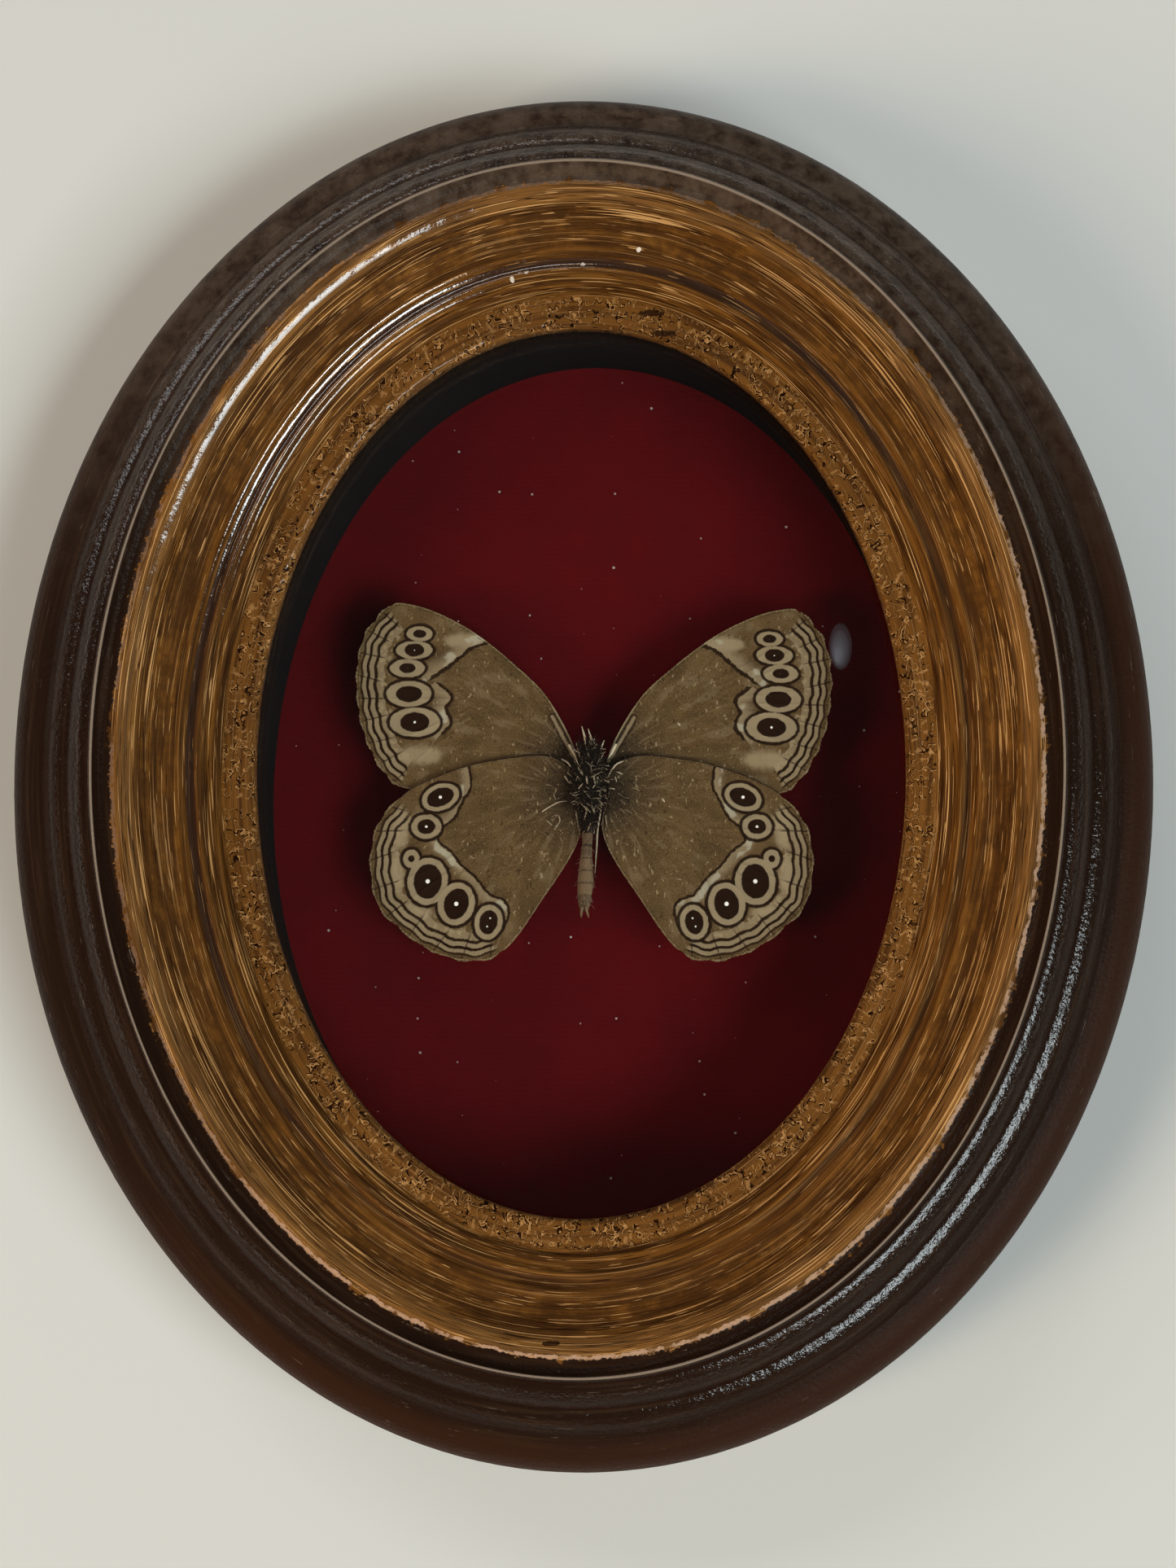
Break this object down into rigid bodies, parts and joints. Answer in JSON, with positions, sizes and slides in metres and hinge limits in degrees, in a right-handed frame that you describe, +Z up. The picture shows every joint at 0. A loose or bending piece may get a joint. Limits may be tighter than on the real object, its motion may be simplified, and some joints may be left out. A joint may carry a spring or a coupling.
{
  "type": "framed butterfly specimen",
  "caption": "Oval turned wooden wall frame, part gilded, that shows a spread butterfly on dark red velvet behind flat glass.",
  "frame": {"origin": "the point on the wall plane where the hanger's middle notch rests on the wall nail", "axes": "+Z up, the wall is the plane y = 0, the front of the frame faces -Y, +X to the right as seen from the front"},
  "size_m": [0.1312, 0.0238, 0.1586],
  "materials": {
    "turned_wood": "dark brown gloss paint outside, brushed worn gilding inside",
    "clear_glass": "clear flat picture glass",
    "black_card": "matt black",
    "red_velvet": "dark red velvet with a fine woven ground",
    "brown_board": "plain brown board",
    "thin_steel": "dull bare steel",
    "brass_sheet": "dull stamped brass",
    "butterfly_wing": "matt scales, brown with pale ringed eyespots",
    "butterfly_body": "dark and hairy, with pale hairs"
  },
  "bodies": {
    "root": {"frame": "turned_wood", "glass": "clear_glass", "spacer_ring": "black_card", "velvet": "red_velvet", "backing_board": "brown_board", "mounting_pin": "thin_steel", "retaining_point_1": "thin_steel", "retaining_point_2": "thin_steel", "retaining_point_3": "thin_steel", "retaining_point_4": "thin_steel", "retaining_point_5": "thin_steel", "retaining_point_6": "thin_steel", "butterfly_body": "butterfly_body", "forewing_left": "butterfly_wing", "forewing_right": "butterfly_wing", "hindwing_left": "butterfly_wing", "hindwing_right": "butterfly_wing", "hanger": "brass_sheet", "hanger_nail_1": "thin_steel", "hanger_nail_2": "thin_steel"}
  },
  "joints": []
}
